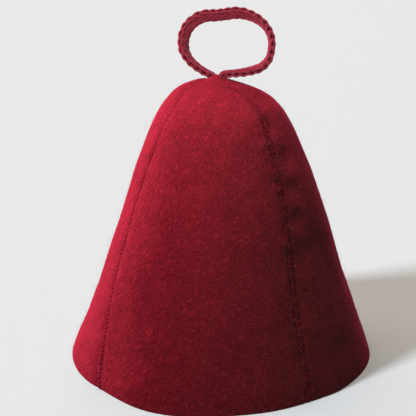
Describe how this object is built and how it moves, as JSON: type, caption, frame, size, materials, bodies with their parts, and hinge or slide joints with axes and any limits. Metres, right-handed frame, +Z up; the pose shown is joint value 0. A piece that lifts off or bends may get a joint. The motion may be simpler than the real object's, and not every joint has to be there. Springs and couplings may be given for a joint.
{
  "type": "felt sauna hat",
  "caption": "Tall bell-shaped wool felt sauna hat sewn from pointed gores, open at the rim, with a flat crocheted hanging loop at its tip.",
  "frame": {"origin": "on the floor that the rim rests on, at the middle of the hat's box", "axes": "+Z up from the rim to the tip; the front, with the seam nearest the viewer on its right, looks towards -Y; +X to the viewer's right"},
  "size_m": [0.2302, 0.2332, 0.2595],
  "materials": {
    "felt": "matt, thick, slightly hairy wool felt in dark red",
    "yarn": "matt crocheted wool yarn, a little lighter and pinker than the felt"
  },
  "bodies": {
    "root": {"gore_front": "felt", "gore_right": "felt", "gore_back": "felt", "gore_left": "felt", "hanging_loop": "yarn"}
  },
  "joints": []
}
